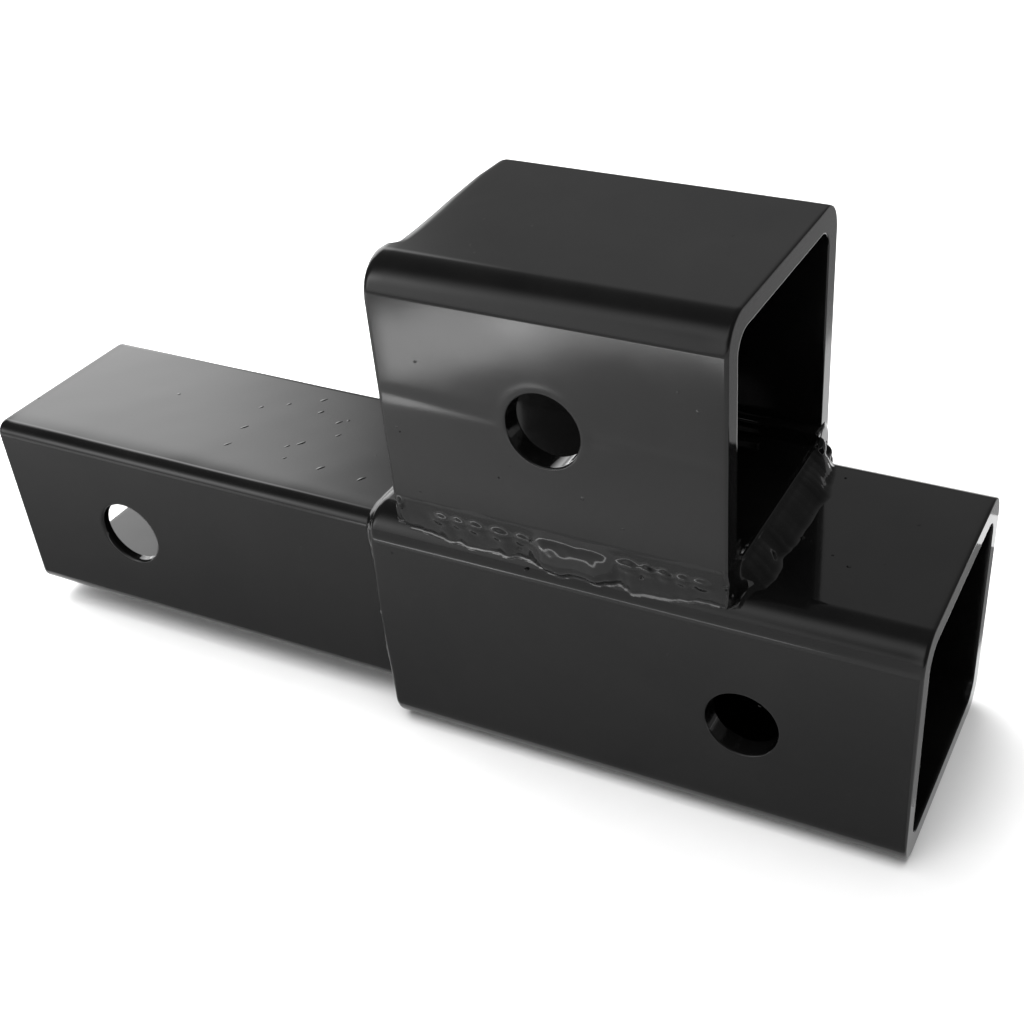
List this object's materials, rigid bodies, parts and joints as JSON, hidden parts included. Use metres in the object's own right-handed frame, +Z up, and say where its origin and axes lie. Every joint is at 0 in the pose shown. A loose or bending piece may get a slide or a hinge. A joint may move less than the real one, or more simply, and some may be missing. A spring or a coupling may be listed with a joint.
{
  "type": "dual hitch receiver",
  "caption": "Square shank that slides into a vehicle's hitch receiver and carries a long receiver tube with a shorter one welded on top, each cross-drilled for a hitch pin.",
  "frame": {"origin": "centre of the shank's pin hole, on the shank's centre line", "axes": "+X along the tubes towards the open receiver mouths, +Z up, pin holes along Y"},
  "size_m": [0.25, 0.0662, 0.1271],
  "materials": {
    "painted_tube": "gloss black paint on steel tube",
    "painted_weld": "gloss black paint on rippled weld bead"
  },
  "bodies": {
    "root": {"shank_tube": "painted_tube", "lower_receiver_tube": "painted_tube", "upper_receiver_tube": "painted_tube", "near_side_weld": "painted_weld", "far_side_weld": "painted_weld", "front_end_weld": "painted_weld", "rear_end_weld": "painted_weld", "shank_weld": "painted_weld"}
  },
  "joints": []
}
